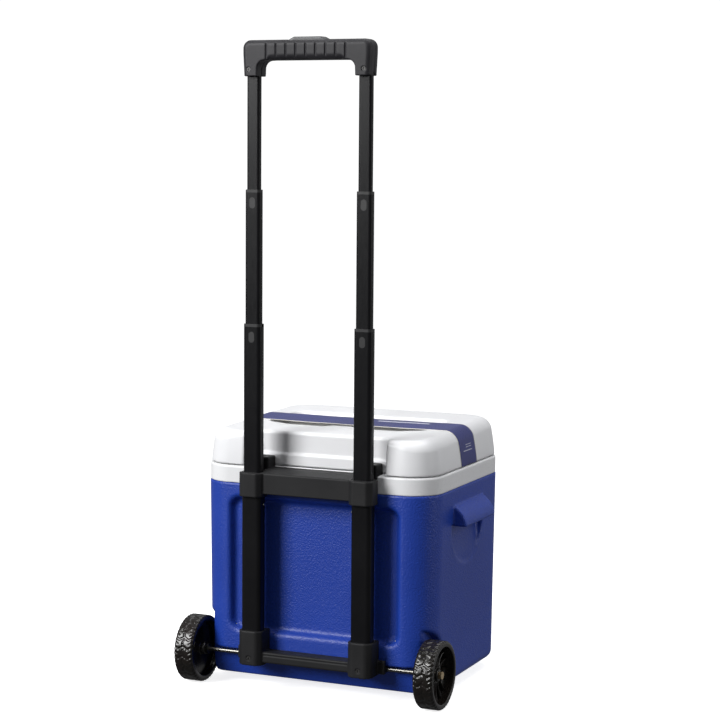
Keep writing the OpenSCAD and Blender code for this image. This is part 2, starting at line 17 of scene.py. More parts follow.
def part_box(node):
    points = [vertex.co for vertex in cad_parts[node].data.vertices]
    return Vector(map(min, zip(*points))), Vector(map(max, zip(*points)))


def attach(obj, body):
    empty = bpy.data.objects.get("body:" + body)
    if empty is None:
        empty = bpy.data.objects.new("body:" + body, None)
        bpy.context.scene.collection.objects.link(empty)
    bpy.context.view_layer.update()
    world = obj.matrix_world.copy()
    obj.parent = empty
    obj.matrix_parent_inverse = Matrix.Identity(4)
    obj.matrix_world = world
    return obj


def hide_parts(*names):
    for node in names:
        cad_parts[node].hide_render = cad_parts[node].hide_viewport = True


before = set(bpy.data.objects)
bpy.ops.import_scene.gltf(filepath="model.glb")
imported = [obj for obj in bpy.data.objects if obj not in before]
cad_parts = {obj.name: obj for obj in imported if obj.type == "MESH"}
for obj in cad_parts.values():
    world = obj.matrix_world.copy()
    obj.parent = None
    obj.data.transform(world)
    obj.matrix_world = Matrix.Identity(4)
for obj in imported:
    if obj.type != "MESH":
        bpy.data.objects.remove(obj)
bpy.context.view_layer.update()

MM = 0.001
scene = bpy.context.scene

# Places taken from the frame, in millimetres
def low_side(node, way):
    """Lowest coordinate of a CAD node along one axis, in millimetres."""
    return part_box(node)[0][way] / MM


def high_side(node, way):
    """Highest coordinate of a CAD node along one axis, in millimetres."""
    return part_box(node)[1][way] / MM


def centre(node, way):
    """Middle of a CAD node along one axis, in millimetres."""
    return (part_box(node)[0][way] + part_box(node)[1][way]) / 2 / MM


RIM_INSET = 0.5
REAR = low_side("inner_liner", 1) - RIM_INSET
BODY_Y = centre("inner_liner", 1)
TUBE_Y = centre("outer_tube_left", 1)
LEG_X = centre("outer_tube_right", 0)
AXLE_Y = centre("axle_rod", 1)
AXLE_Z = centre("axle_rod", 2)
TRACK_IN = low_side("wheel_right", 0)
GRIP_LOW = low_side("grip_outer_shell", 2)
GRIP_TOP = high_side("grip_outer_shell", 2)
BUTTON_TOP = high_side("release_button", 2)
LID_LOW = low_side("lid_cover", 2)
LID_TOP = high_side("lid_cover", 2)
RIM_TOP = high_side("inner_liner", 2)
SHELL_TOP = high_side("outer_shell", 2)
SHELL_LOW = low_side("outer_shell", 2)
BAND_Y = centre("label_band", 1)
BAND_HALF = high_side("label_band", 1) - BAND_Y


# ---------------------------------------------------------------- distance fields
def round_max(a, b, r):
    """Both of two fields, with the edge between them rounded to radius r."""
    inner = np.minimum(np.maximum(a, b), -r)
    return inner + np.hypot(np.maximum(a + r, 0), np.maximum(b + r, 0))


def round_min(a, b, r):
    """Either of two fields, with a fillet of radius r between them."""
    return -round_max(-a, -b, r)


def rect(a, b, half_a, half_b, r):
    """Rectangle with round corners in the two coordinates a and b."""
    qa, qb = np.abs(a) - half_a + r, np.abs(b) - half_b + r
    return np.hypot(np.maximum(qa, 0), np.maximum(qb, 0)) + np.minimum(np.maximum(qa, qb), 0) - r


def ease(t):
    """0 below 0, 1 above 1, smooth between."""
    t = np.clip(t, 0, 1)
    return t * t * (3 - 2 * t)


def axis(*spans):
    """Grid lines along one axis, from spans (start, stop, step) that follow each other."""
    lines = []
    for start, stop, step in spans:
        count = max(1, round((stop - start) / step))
        lines.extend(np.linspace(start, stop, count, endpoint=False))
    lines.append(spans[-1][1])
    return np.array(lines)


def mirrored_axis(*spans):
    """As axis(), for spans from 0 outwards, on both sides of 0."""
    half = axis(*spans)
    return np.concatenate([-half[:0:-1], half])


# The 12 edges of a grid cell: the axis that each runs along, and its place across the other two
EDGES = [(a, u, v) for a in range(3) for u in (0, 1) for v in (0, 1)]
PROBE, PULLS = 0.01, 3


def net_mesh(field, xs, ys, zs):
    """Points and quads of the surface where field is 0, one point in each grid cell that it crosses."""
    lines = (xs, ys, zs)
    values = field(*np.meshgrid(xs, ys, zs, indexing="ij"))
    inside = values < 0
    filled = np.zeros([n - 1 for n in values.shape], np.int8)
    for i in (0, 1):
        for j in (0, 1):
            for k in (0, 1):
                filled += inside[i:i + filled.shape[0], j:j + filled.shape[1], k:k + filled.shape[2]]
    active = (filled > 0) & (filled < 8)
    number = np.full(active.shape, -1, np.int64)
    cells = np.array(np.nonzero(active))
    count = cells.shape[1]
    number[active] = np.arange(count)
    total, hits = np.zeros((count, 3)), np.zeros(count)
    for a, u, v in EDGES:
        b, c = (a + 1) % 3, (a + 2) % 3
        low = cells.copy()
        low[b] += u
        low[c] += v
        high = low.copy()
        high[a] += 1
        f0, f1 = values[tuple(low)], values[tuple(high)]
        cross = (f0 < 0) != (f1 < 0)
        share = np.where(cross, f0 / np.where(cross, f0 - f1, 1), 0)
        spot = np.stack([lines[d][low[d]] for d in range(3)], 1)
        spot[:, a] += share * (lines[a][high[a]] - lines[a][low[a]])
        total[cross] += spot[cross]
        hits += cross
    points = total / hits[:, None]
    quads = []
    for a in range(3):
        b, c = (a + 1) % 3, (a + 2) % 3
        first = np.take(inside, range(inside.shape[a] - 1), a)
        second = np.take(inside, range(1, inside.shape[a]), a)
        spots = np.array(np.nonzero(first != second))
        keep = (spots[b] > 0) & (spots[c] > 0)
        keep &= (spots[b] < inside.shape[b] - 1) & (spots[c] < inside.shape[c] - 1)
        spots = spots[:, keep]
        outwards = first[tuple(spots)]
        corners = []
        for db, dc in ((1, 1), (0, 1), (0, 0), (1, 0)):
            cell = spots.copy()
            cell[b] -= db
            cell[c] -= dc
            corners.append(number[tuple(cell)])
        found = np.stack(corners, 1)
        found[~outwards] = found[~outwards][:, ::-1]
        quads.append(found)
    quads = np.concatenate(quads)
    for _ in range(PULLS):
        x, y, z = points.T
        f = field(x, y, z)
        slope = np.stack([
            field(x + PROBE, y, z) - f,
            field(x, y + PROBE, z) - f,
            field(x, y, z + PROBE) - f,
        ], 1) / PROBE
        steep = np.maximum((slope ** 2).sum(1), 0.2)
        move = np.clip(f / steep, -1.0, 1.0)
        points = points - slope * move[:, None]
    return points, quads


def mesh_object(name, points, faces):
    """New object from points in millimetres and faces, smooth shaded."""
    mesh = bpy.data.meshes.new(name)
    mesh.from_pydata((np.asarray(points, float) * MM).tolist(), [], [list(map(int, f)) for f in faces])
    mesh.update()
    mesh.shade_smooth()
    piece = bpy.data.objects.new(name, mesh)
    scene.collection.objects.link(piece)
    return piece


def moulded(name, field, xs, ys, zs):
    """Object with the surface of a distance field."""
    return mesh_object(name, *net_mesh(field, xs, ys, zs))


def place(piece, body, slot, material, *nodes):
    """Puts a finished piece on its body, in the place of CAD nodes."""
    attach(piece, body)
    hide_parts(*nodes)
    piece.data.materials.clear()
    piece.data.materials.append(material)
    return piece


# ---------------------------------------------------------------- materials
# Range that most values of a noise texture fall in
MID_NOISE = (0.3, 0.7)


def shader(name):
    """New material with a Principled shader; returns the material, its node tree and the shader."""
    material = bpy.data.materials.new(name)
    material.use_nodes = True
    tree = material.node_tree
    tree.nodes.clear()
    out = tree.nodes.new("ShaderNodeOutputMaterial")
    base = tree.nodes.new("ShaderNodeBsdfPrincipled")
    tree.links.new(base.outputs["BSDF"], out.inputs["Surface"])
    return material, tree, base


def texture(tree, kind, scale, detail=2.0, stretch=(1, 1, 1)):
    """Noise or Voronoi texture in the object's own coordinates."""
    where = tree.nodes.new("ShaderNodeTexCoord")
    mapping = tree.nodes.new("ShaderNodeMapping")
    mapping.inputs["Scale"].default_value = stretch
    node = tree.nodes.new(kind)
    node.inputs["Scale"].default_value = scale
    if "Detail" in node.inputs:
        node.inputs["Detail"].default_value = detail
    tree.links.new(where.outputs["Object"], mapping.inputs["Vector"])
    tree.links.new(mapping.outputs["Vector"], node.inputs["Vector"])
    return node


def ramp(tree, source, low, high, a, b):
    """Maps source from low..high to a..b."""
    node = tree.nodes.new("ShaderNodeMapRange")
    node.inputs["From Min"].default_value = low
    node.inputs["From Max"].default_value = high
    node.inputs["To Min"].default_value = a
    node.inputs["To Max"].default_value = b
    tree.links.new(source, node.inputs["Value"])
    return node.outputs["Result"]


def finish_from(tree, base, tint, rough, dark, light, rough_low, rough_high):
    """Base colour from dark to light by one texture, and roughness from low to high by another."""
    share = ramp(tree, tint.outputs["Fac"], *MID_NOISE, 0.0, 1.0)
    tree.links.new(mixed(tree, share, dark, light), base.inputs["Base Color"])
    roughness = ramp(tree, rough.outputs["Fac"], *MID_NOISE, rough_low, rough_high)
    tree.links.new(roughness, base.inputs["Roughness"])


def mixed(tree, share, a, b):
    """Colour between a and b by share; a and b are colours or outputs."""
    node = tree.nodes.new("ShaderNodeMix")
    node.data_type = "RGBA"
    tree.links.new(share, node.inputs["Factor"])
    for socket, value in (("A", a), ("B", b)):
        plug = next(s for s in node.inputs if s.name == socket and s.type == "RGBA")
        if isinstance(value, tuple):
            plug.default_value = (*value, 1)
        else:
            tree.links.new(value, plug)
    return next(s for s in node.outputs if s.type == "RGBA")


def bump(tree, base, height, strength, distance, before=None):
    """Bump from height on the shader's normal, on top of an earlier bump."""
    node = tree.nodes.new("ShaderNodeBump")
    node.inputs["Strength"].default_value = strength
    node.inputs["Distance"].default_value = distance
    tree.links.new(height, node.inputs["Height"])
    if before is not None:
        tree.links.new(before.outputs["Normal"], node.inputs["Normal"])
    tree.links.new(node.outputs["Normal"], base.inputs["Normal"])
    return node


def plastic(name, dark, light, rough_low, rough_high, grain, depth, tint_scale=9.0):
    """Moulded plastic: a slow change of tint, grain in the surface and roughness that follows it."""
    material, tree, base = shader(name)
    cloud = texture(tree, "ShaderNodeTexNoise", tint_scale, 3.0)
    grains = texture(tree, "ShaderNodeTexNoise", grain, 2.0)
    finish_from(tree, base, cloud, grains, dark, light, rough_low, rough_high)
    bump(tree, base, grains.outputs["Fac"], 0.5, depth)
    return material, tree, base


def metal(name, metallic, dark, light, rough_low, rough_high, grain, depth):
    """Plated or blackened metal with one fine pattern in its tint, roughness and surface."""
    material, tree, base = shader(name)
    base.inputs["Metallic"].default_value = metallic
    pattern = texture(tree, "ShaderNodeTexNoise", grain, 3.0)
    finish_from(tree, base, pattern, pattern, dark, light, rough_low, rough_high)
    bump(tree, base, pattern.outputs["Fac"], 0.2, depth)
    return material


def shell_blue():
    """Blue polyethylene with a pebble grain, its pebble tops coloured lighter as painted sparkle."""
    material, tree, base = shader("shell_blue")
    cloud = texture(tree, "ShaderNodeTexNoise", 7.0, 3.0)
    pebble = texture(tree, "ShaderNodeTexVoronoi", 420.0)
    pebble.feature = "SMOOTH_F1"
    fine = texture(tree, "ShaderNodeTexNoise", 900.0, 2.0)
    tint = ramp(tree, cloud.outputs["Fac"], *MID_NOISE, 0.0, 1.0)
    colour = mixed(tree, tint, (0.009, 0.042, 0.33), (0.013, 0.052, 0.38))
    # Painted sparkle: the tops of the pebbles get a lighter blue, standing in for glints of light on the grain
    spots = ramp(tree, pebble.outputs["Distance"], 0.1, 0.7, 1.0, 0.0)
    colour = mixed(tree, ramp(tree, spots, 0.0, 1.0, 0.0, 0.35), colour, (0.020, 0.078, 0.47))
    tree.links.new(colour, base.inputs["Base Color"])
    tree.links.new(ramp(tree, fine.outputs["Fac"], *MID_NOISE, 0.34, 0.48), base.inputs["Roughness"])
    first = bump(tree, base, pebble.outputs["Distance"], 0.6, 0.0007)
    bump(tree, base, fine.outputs["Fac"], 0.2, 0.0001, first)
    return material


def lid_white():
    """White polypropylene, satin, with faint mould marks."""
    dark, light = (0.80, 0.805, 0.825), (0.86, 0.865, 0.88)
    material, _, base = plastic("lid_white", dark, light, 0.30, 0.42, 700.0, 0.00006)
    base.inputs["Subsurface Weight"].default_value = 0.05
    base.inputs["Subsurface Radius"].default_value = (0.004, 0.004, 0.004)
    return material


def liner_white():
    """White liner plastic, smoother than the lid."""
    return plastic("liner_white", (0.81, 0.815, 0.83), (0.87, 0.875, 0.885), 0.26, 0.38, 500.0, 0.00004)[0]


def foam_cream():
    """Rigid foam with closed cells."""
    return plastic("foam_cream", (0.74, 0.66, 0.42), (0.86, 0.80, 0.58), 0.85, 0.95, 900.0, 0.0004)[0]


def bracket_black():
    """Black bracket plastic with a fine spark-eroded grain."""
    dark, light = (0.011, 0.011, 0.012), (0.018, 0.018, 0.019)
    material, _, base = plastic("bracket_black", dark, light, 0.5, 0.64, 1300.0, 0.00012, 14.0)
    base.inputs["Specular IOR Level"].default_value = 0.25
    return material


def grip_black():
    """Black grip plastic, a little greyer and grained."""
    dark, light = (0.015, 0.0145, 0.0175), (0.024, 0.023, 0.027)
    material, _, base = plastic("grip_black", dark, light, 0.44, 0.58, 1100.0, 0.00012, 18.0)
    base.inputs["Specular IOR Level"].default_value = 0.35
    return material


def button_black():
    """Black button plastic, satin, with a fine grain."""
    dark, light = (0.022, 0.024, 0.027), (0.034, 0.036, 0.040)
    return plastic("button_black", dark, light, 0.30, 0.42, 900.0, 0.00008, 30.0)[0]


def bush_black():
    """Black nylon of the bushes and plugs."""
    dark, light = (0.014, 0.014, 0.015), (0.024, 0.024, 0.026)
    return plastic("bush_black", dark, light, 0.42, 0.55, 800.0, 0.00005, 25.0)[0]


def foot_rubber():
    """Dull black rubber."""
    dark, light = (0.014, 0.014, 0.014), (0.030, 0.029, 0.028)
    return plastic("foot_rubber", dark, light, 0.65, 0.85, 600.0, 0.0003, 30.0)[0]


def link_white():
    """Plain nylon of the bar inside the grip."""
    return plastic("link_white", (0.70, 0.69, 0.64), (0.80, 0.79, 0.74), 0.4, 0.5, 600.0, 0.00006)[0]


def tube_black():
    """Black lacquered aluminium, with fine lines along the tube."""
    material, tree, base = shader("tube_black")
    cloud = texture(tree, "ShaderNodeTexNoise", 12.0, 3.0)
    lines = texture(tree, "ShaderNodeTexNoise", 1500.0, 2.0, (1, 1, 0.05))
    finish_from(tree, base, cloud, lines, (0.003, 0.003, 0.004), (0.006, 0.006, 0.007), 0.28, 0.36)
    base.inputs["Specular IOR Level"].default_value = 0.22
    bump(tree, base, lines.outputs["Fac"], 0.1, 0.00001)
    return material


def zinc_steel():
    """Dull zinc-plated steel with a slight spangle."""
    return metal("zinc_steel", 1.0, (0.15, 0.145, 0.13), (0.21, 0.205, 0.185), 0.24, 0.38, 260.0, 0.00004)


def screw_black():
    """Black-oxide steel of the screws through the lower bracket and the grip."""
    return metal("screw_black", 0.6, (0.035, 0.035, 0.037), (0.09, 0.088, 0.085), 0.32, 0.5, 500.0, 0.00004)


def cap_brass():
    """Yellow-passivated cap on the end of the axle."""
    return metal("cap_brass", 0.7, (0.50, 0.36, 0.20), (0.72, 0.58, 0.36), 0.28, 0.45, 320.0, 0.00005)


def wheel_black():
    """Glossy black polypropylene of the wheels, with a brownish cast and flow marks."""
    material, tree, base = shader("wheel_black")
    cloud = texture(tree, "ShaderNodeTexNoise", 40.0, 3.0)
    flow = texture(tree, "ShaderNodeTexNoise", 260.0, 3.0)
    tint = ramp(tree, cloud.outputs["Fac"], 0.35, 0.65, 0.0, 1.0)
    tree.links.new(mixed(tree, tint, (0.007, 0.006, 0.005), (0.014, 0.011, 0.009)), base.inputs["Base Color"])
    tree.links.new(ramp(tree, flow.outputs["Fac"], *MID_NOISE, 0.14, 0.26), base.inputs["Roughness"])
    bump(tree, base, flow.outputs["Fac"], 0.12, 0.0001)
    return material


# Plain lines on the card: place and half-size along Z or X, then place and half-size along Y
FLAP_LINES = [
    (356.0, 0.45, BAND_Y, 17.0),
    (361.2, 0.3, BAND_Y + 5, 11.0),
    (364.5, 0.3, BAND_Y + 5, 11.0),
]
TOP_LINE = (72.0, 42.0, BAND_Y + 16, 3.0)
CARD_EDGE, FLAP_FROM, TOP_FROM = 1.0, 155.0, 380.0


def band_card():
    """Printed card sleeve: indigo with cream edges, plain pale lines on the flaps and one on top."""
    material, tree, base = shader("band_card")
    where = tree.nodes.new("ShaderNodeTexCoord")
    split = tree.nodes.new("ShaderNodeSeparateXYZ")
    tree.links.new(where.outputs["Object"], split.inputs["Vector"])

    def compute(kind, a, b=None):
        node = tree.nodes.new("ShaderNodeMath")
        node.operation = kind
        for plug, value in zip(node.inputs, (a, b)):
            if isinstance(value, (int, float)):
                plug.default_value = value
            elif value is not None:
                tree.links.new(value, plug)
        return node.outputs["Value"]

    def near(value, centre, half):
        return compute("LESS_THAN", compute("ABSOLUTE", compute("SUBTRACT", value, centre)), half)

    def bar(way, centre_at, half, centre_y, half_y):
        """1 inside a rectangle: along X or Z by the first two lengths, along Y by the last two."""
        return compute("MULTIPLY", near(split.outputs[way], centre_at * MM, half * MM),
                       near(split.outputs["Y"], centre_y * MM, half_y * MM))

    across = compute("ABSOLUTE", compute("SUBTRACT", split.outputs["Y"], BAND_Y * MM))
    edge = compute("GREATER_THAN", across, (BAND_HALF - CARD_EDGE) * MM)
    flap = compute("GREATER_THAN", compute("ABSOLUTE", split.outputs["X"]), FLAP_FROM * MM)
    lines = bar("Z", *FLAP_LINES[0])
    for line in FLAP_LINES[1:]:
        lines = compute("MAXIMUM", lines, bar("Z", *line))
    on_top = compute("GREATER_THAN", split.outputs["Z"], TOP_FROM * MM)
    stripe = compute("MULTIPLY", bar("X", *TOP_LINE), on_top)
    print_mark = compute("MAXIMUM", compute("MULTIPLY", flap, lines), stripe)
    cloud = texture(tree, "ShaderNodeTexNoise", 30.0, 4.0)
    fibre = texture(tree, "ShaderNodeTexNoise", 1500.0, 2.0)
    tint = ramp(tree, cloud.outputs["Fac"], *MID_NOISE, 0.0, 1.0)
    colour = mixed(tree, tint, (0.009, 0.016, 0.145), (0.014, 0.022, 0.18))
    colour = mixed(tree, print_mark, colour, (0.74, 0.75, 0.84))
    colour = mixed(tree, edge, colour, (0.74, 0.70, 0.60))
    tree.links.new(colour, base.inputs["Base Color"])
    tree.links.new(ramp(tree, fibre.outputs["Fac"], *MID_NOISE, 0.26, 0.40), base.inputs["Roughness"])
    bump(tree, base, fibre.outputs["Fac"], 0.2, 0.00005)
    return material


def card_back():
    """Plain unprinted side of the card."""
    dark, light = (0.66, 0.64, 0.58), (0.74, 0.72, 0.66)
    return plastic("card_back", dark, light, 0.8, 0.9, 1200.0, 0.00005, 40.0)[0]


# ---------------------------------------------------------------- the box
BOX_HALF_X, BOX_HALF_Y, BOX_R, DRAFT, SHELL_WALL = 187.0, 153.0, 48.0, 4.0, 4.6
PANEL_HALF, PANEL_LOW, PANEL_HIGH = 138.0, 83.0, 288.0
PANEL_R, PANEL_DEEP, PANEL_SLOPE, PANEL_FILLET = 18.0, 12.0, 7.0, 3.5
GRIP_Y = REAR + 150.0
HOOD_HALF, HOOD_LOW, HOOD_TOP, HOOD_OUT, HOOD_T, HOOD_CURVE = 61.5, 252.0, 283.0, 20.0, 4.0, 2.2
SCOOP_R, SCOOP_Z, SCOOP_DEEP, SCOOP_FADE, SLOT_TOP = 64.0, 252.0, 11.0, 58.0, 274.0
SCOOP_EDGE, SLOT_HALF = 3.0, HOOD_HALF - HOOD_T - 1.5
WELL_R, WELL_X = 59.0, 170.0
CHANNEL_TOP, CHANNEL_LOW, CHANNEL_DEEP, UNDERCUT = 55.0, 45.0, 12.0, 20.0
FOOT_ROUND = 13.0


def box_side(x, y, z):
    """Distance to the drafted sides of the box, with no dents."""
    lean = DRAFT * np.clip((SHELL_TOP - z) / (SHELL_TOP - SHELL_LOW), 0, 1)
    return rect(x, y - BODY_Y, BOX_HALF_X - lean, BOX_HALF_Y - lean / 2, BOX_R - lean)


def dents(x, y, z, grow):
    """Panel, side scoops, wheel wells and axle channel, all grown by grow."""
    ax = np.abs(x)
    mid, tall = (PANEL_LOW + PANEL_HIGH) / 2, (PANEL_HIGH - PANEL_LOW) / 2
    deep = y - REAR
    outline = rect(x, z - mid, PANEL_HALF + grow, tall + grow, PANEL_R + grow)
    outline = outline + PANEL_SLOPE * np.clip(deep / PANEL_DEEP, 0, 1.5)
    panel = round_max(outline, deep - PANEL_DEEP - grow, PANEL_FILLET)
    across, up = y - GRIP_Y, z - SCOOP_Z
    bowl = np.maximum(np.hypot(across, up) - SCOOP_R - grow, up - 1)
    slot_half = SCOOP_R + (SLOT_HALF - SCOOP_R) * ease(up / 6)
    slot = np.maximum(np.abs(across) - slot_half - grow, np.maximum(z - SLOT_TOP, SCOOP_Z - 1 - z) - grow)
    sunk = SCOOP_EDGE + (SCOOP_DEEP - SCOOP_EDGE) * ease((z - SCOOP_Z + SCOOP_R - 4) / SCOOP_FADE)
    low = BOX_HALF_X - DRAFT / 4 - sunk
    scoop = round_max(round_min(bowl, slot, 4.0), low - grow - ax, 5.0)
    well = np.maximum(np.hypot(y - AXLE_Y, z - AXLE_Z) - WELL_R - grow, WELL_X - grow - ax)
    below = np.clip((CHANNEL_LOW - z) / (CHANNEL_LOW - SHELL_LOW), 0, 1.2)
    floor = CHANNEL_DEEP + (UNDERCUT - CHANNEL_DEEP) * below
    channel = np.maximum(deep - floor - grow, z - CHANNEL_TOP - grow)
    return panel, scoop, well, channel


def box_body(x, y, z, grow):
    """Box with its dents, shrunk by grow and open upwards."""
    body = round_max(box_side(x, y, z) + grow, SHELL_LOW + grow - z, FOOT_ROUND)
    panel, scoop, well, channel = dents(x, y, z, grow)
    body = round_max(body, -panel, 4.0)
    body = round_max(body, -scoop, 3.0)
    body = round_max(body, -well, 4.0)
    return round_max(body, -channel, 2.5)


def hood(x, y, z):
    """Hoods over the finger pockets on both ends."""
    ax, across = np.abs(x), np.abs(y - GRIP_Y)
    high = (HOOD_TOP - z) / (HOOD_TOP - HOOD_LOW)
    reach = BOX_HALF_X + HOOD_OUT * (1 - np.clip(1 - high, 0, 1) ** HOOD_CURVE)
    outside = round_max(round_max(ax - reach, z - HOOD_TOP, 2.0), across - HOOD_HALF, 3.5)
    outside = round_max(outside, HOOD_LOW - z, 1.2)
    hollow = np.maximum(ax - reach + HOOD_T, across - HOOD_HALF + HOOD_T)
    hollow = round_max(hollow, z - HOOD_TOP + HOOD_T + 2, 4.0)
    return np.maximum(round_max(outside, -hollow, 1.2), BOX_HALF_X - 4 - ax)


def shell_field(x, y, z):
    """Outer shell: a wall of even thickness, with the hoods."""
    body = round_min(box_body(x, y, z, 0.0), hood(x, y, z), 2.5)
    return np.maximum(np.maximum(body, -box_body(x, y, z, SHELL_WALL)), z - SHELL_TOP)


def build_shell(material):
    """Outer shell, on grid lines that are close at edges and wide on flat faces."""
    xs = mirrored_axis((0, 124, 6.2), (124, 148, 2.7), (148, 170, 4.0), (170, 210, 2.1))
    ys = axis((REAR - 3, REAR + 24, 2.0), (REAR + 24, GRIP_Y - 68, 4.2), (GRIP_Y - 68, GRIP_Y - 48, 2.0),
              (GRIP_Y - 48, GRIP_Y + 48, 5.4), (GRIP_Y + 48, GRIP_Y + 68, 2.0), (GRIP_Y + 68, REAR + 262, 6.0),
              (REAR + 262, REAR + 309, 2.8))
    zs = axis((SHELL_LOW - 3, SHELL_LOW + 16, 2.2), (SHELL_LOW + 16, 41, 2.8), (41, 60, 1.8), (60, 78, 3.6),
              (78, 120, 2.8), (120, 184, 6.2), (184, 206, 2.2), (206, 244, 3.8), (244, 292, 2.0),
              (292, SHELL_TOP + 3, 2.6))
    piece = moulded("outer_shell_moulding", shell_field, xs, ys, zs)
    place(piece, "cooler", "shell_blue", material, "outer_shell")


# ---------------------------------------------------------------- rim and liner
OPEN_HALF_X, OPEN_HALF_Y, OPEN_R, LINER_FLOOR, LINER_T = 159.0, 125.0, 30.0, 46.0, 2.5
RIM_ROUND = 3.0
NOTCH_HALF, NOTCH_DEEP, NOTCH_LOW = 101.3, 24.8, 326.7


def liner_field(x, y, z):
    """Rim over the shell, notched for the handle's upper bracket, and the tub that hangs in it."""
    rim = rect(x, y - BODY_Y, BOX_HALF_X - RIM_INSET, BOX_HALF_Y - RIM_INSET, BOX_R - RIM_INSET)
    rim = round_max(rim, z - RIM_TOP, RIM_ROUND)
    rim = round_max(rim, SHELL_TOP - z, 1.2)
    notch = np.maximum(np.maximum(np.abs(x) - NOTCH_HALF, y - REAR - NOTCH_DEEP), NOTCH_LOW - z)
    rim = round_max(rim, -notch, 1.0)
    outline = rect(x, y - BODY_Y, OPEN_HALF_X, OPEN_HALF_Y, OPEN_R)
    tub = round_max(outline - LINER_T, LINER_FLOOR - LINER_T - z, 8.0)
    tub = np.maximum(tub, z - RIM_TOP)
    hole = round_max(outline, LINER_FLOOR - z, 7.0)
    return round_max(np.minimum(rim, tub), -hole, 2.2)


def build_liner(material):
    """Liner, on grid lines that are wide only down its walls and across its floor."""
    xs = mirrored_axis((0, 96, 6.0), (96, 106, 1.7), (106, 124, 4.0), (124, 190, 1.5))
    ys = axis((REAR - 3, REAR + 62, 1.5), (REAR + 62, REAR + 244, 6.0), (REAR + 244, REAR + 309, 1.5))
    zs = axis((LINER_FLOOR - 5, LINER_FLOOR + 11, 1.2), (LINER_FLOOR + 11, SHELL_TOP - 4, 9.0),
              (SHELL_TOP - 4, RIM_TOP + 2, 1.2))
    piece = moulded("inner_liner_moulding", liner_field, xs, ys, zs)
    place(piece, "cooler", "liner_white", material, "inner_liner")


# ---------------------------------------------------------------- lid
LID_WALL, LID_EDGE, LID_LEAN, LID_CURVE = 3.6, 2.5, 10.0, 1.35
DOCK_HALF, DOCK_Y, DOCK_LEDGE, DOCK_STEP, DOCK_BOW, DOCK_R = 113.0, REAR + 27.0, 352.0, 3.0, 1.5, 9.0
TRAY_HALF_X, TRAY_NEAR, TRAY_FAR, TRAY_DEEP, TRAY_R = 130.0, REAR + 105.0, REAR + 223.0, 11.0, 18.0
END_TURN, LONG_TURN = 17.0, 9.0
TOP_FALL, TOP_RUN, FINGER_DIP, DIP_REACH = 7.0, 280.0, 2.6, 17.0


def lid_inset(z):
    """How far the lid's side leans in at the height z, before its top edge turns over."""
    return LID_EDGE + LID_LEAN * np.clip((z - LID_LOW) / (LID_TOP - LID_LOW), 0, 1) ** LID_CURVE


def lid_solid(x, y, z, grow):
    """Outside of the lid, shrunk by grow. Its top falls towards the handle and has two finger dips."""
    ax = np.abs(x)
    inset = lid_inset(z)
    side = rect(x, y - BODY_Y, BOX_HALF_X - inset, BOX_HALF_Y - 0.6 * inset, BOX_R - inset) + grow
    fall = TOP_FALL * np.clip((REAR + TOP_RUN - y) / TOP_RUN, 0, 1.1)
    hollow = ease((ax - 12) / 24) * ease((118 - ax) / 34)
    dip = FINGER_DIP * hollow * np.exp(-((y - TRAY_NEAR + 3) / DIP_REACH) ** 2)
    turn = LONG_TURN + (END_TURN - LONG_TURN) * ease((ax - 120) / 40)
    body = round_max(side, z - LID_TOP + fall + dip + grow, turn)
    bow = DOCK_BOW * np.cos(np.clip(x / DOCK_HALF, -1, 1) * 1.57)
    back = DOCK_Y + DOCK_STEP * ease((z - DOCK_LEDGE + 2) / 4) - bow
    dock = round_max(ax - DOCK_HALF - grow, y - back - grow, DOCK_R)
    body = round_max(body, -dock, 5.0)
    middle, half = (TRAY_NEAR + TRAY_FAR) / 2, (TRAY_FAR - TRAY_NEAR) / 2
    tray = rect(x, y - middle, TRAY_HALF_X + grow, half + grow, TRAY_R)
    tray = round_max(tray + 0.3 * (LID_TOP - z), LID_TOP - TRAY_DEEP - grow - z, 3.0)
    return round_max(body, -tray, 2.5)


def lid_field(x, y, z):
    """Lid cover: a wall of even thickness, open below."""
    return np.maximum(round_max(lid_solid(x, y, z, 0.0), LID_LOW - z, 1.4), -lid_solid(x, y, z, LID_WALL))


def build_lid(material):
    """Lid cover, on grid lines that are close at the dock, the tray's edges and the ends."""
    xs = mirrored_axis((0, 104, 3.4), (104, 136, 1.5), (136, 190, 1.7))
    ys = axis((REAR - 3, REAR + 44, 1.5), (REAR + 44, REAR + 78, 3.0), (REAR + 78, REAR + 112, 1.5),
              (REAR + 112, REAR + 214, 4.0), (REAR + 214, REAR + 230, 1.8), (REAR + 230, REAR + 270, 3.0),
              (REAR + 270, REAR + 309, 1.6))
    zs = axis((LID_LOW - 3, LID_TOP + 3, 1.5))
    piece = moulded("lid_cover_moulding", lid_field, xs, ys, zs)
    place(piece, "lid", "lid_white", material, "lid_cover")


# ---------------------------------------------------------------- card band
CARD_T, CARD_GAP, CARD_SAG, CARD_WAVE, CARD_TURN_X = 0.8, 0.45, 0.6, 0.12, 142.0


def band_path(columns):
    """X and Z of the sleeve up the lid's end to its top, just clear of the lid, at each column across it."""
    turns, ys = np.meshgrid(np.linspace(0, 1, 44) * math.pi / 2, BAND_Y + columns, indexing="ij")
    near, far = np.full(turns.shape, 20.0), np.full(turns.shape, 90.0)
    for _ in range(30):
        reach = (near + far) / 2
        x, z = CARD_TURN_X + reach * np.cos(turns), LID_LOW + reach * np.sin(turns)
        clear = lid_solid(x, ys, z, 0.0) > CARD_GAP
        near, far = np.where(clear, near, reach), np.where(clear, reach, far)
    return x, z


